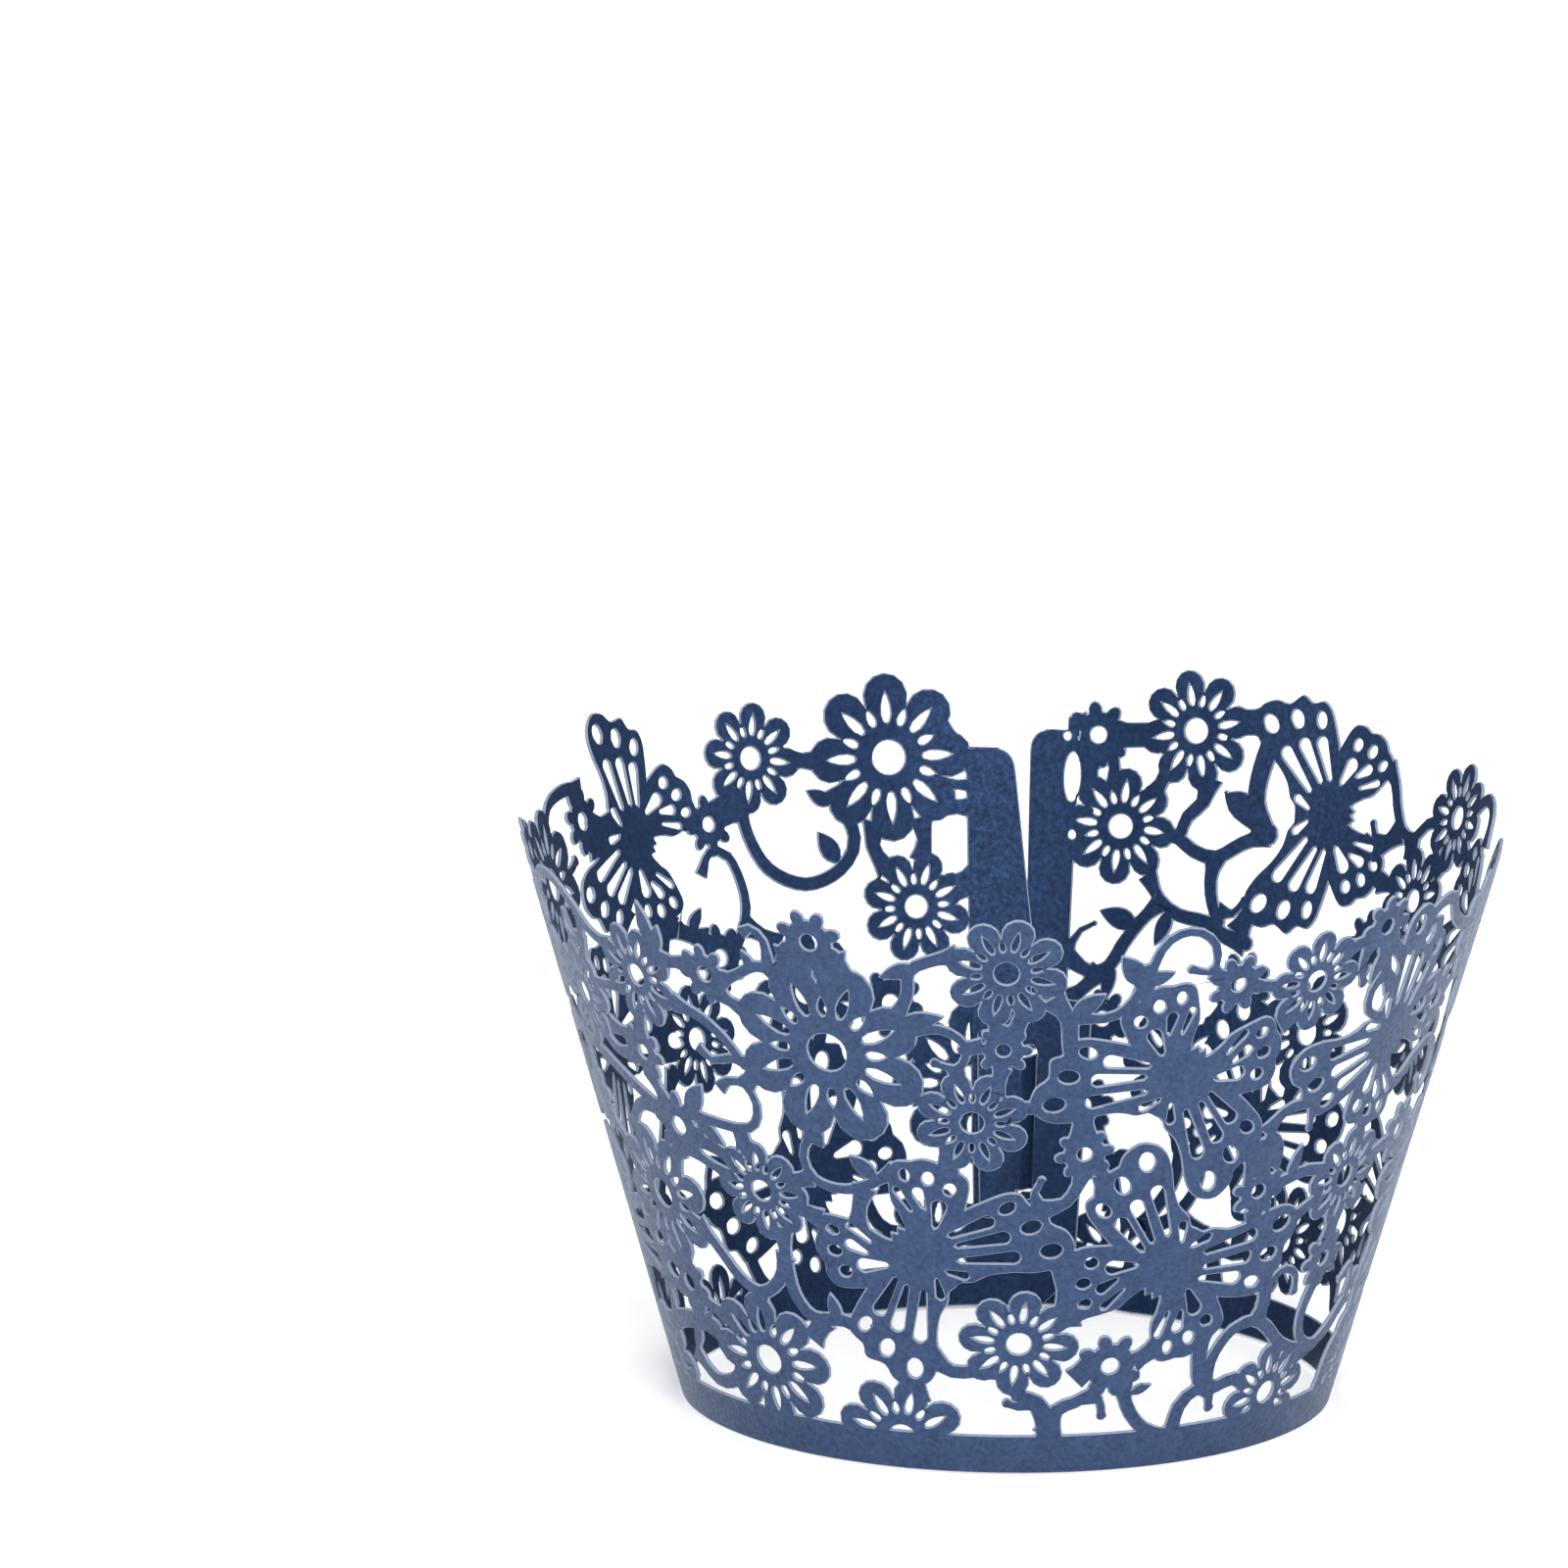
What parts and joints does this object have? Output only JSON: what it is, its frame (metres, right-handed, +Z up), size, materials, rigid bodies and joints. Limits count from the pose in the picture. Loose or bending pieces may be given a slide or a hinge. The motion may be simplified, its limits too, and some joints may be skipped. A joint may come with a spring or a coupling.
{
  "type": "cupcake wrapper",
  "caption": "Laser-cut lace cupcake wrapper: a card cone of daisies, butterflies and scrolls, closed at the back by a tongue in a slit.",
  "frame": {"origin": "middle of the base edge, on the plane the wrapper stands on", "axes": "+Z up along the cone's axis, -Y the lace front, +Y the closure at the back"},
  "size_m": [0.0787, 0.08, 0.0502],
  "materials": {
    "wrapper": "pearl card"
  },
  "bodies": {
    "root": {"wrapper": "wrapper"}
  },
  "joints": []
}
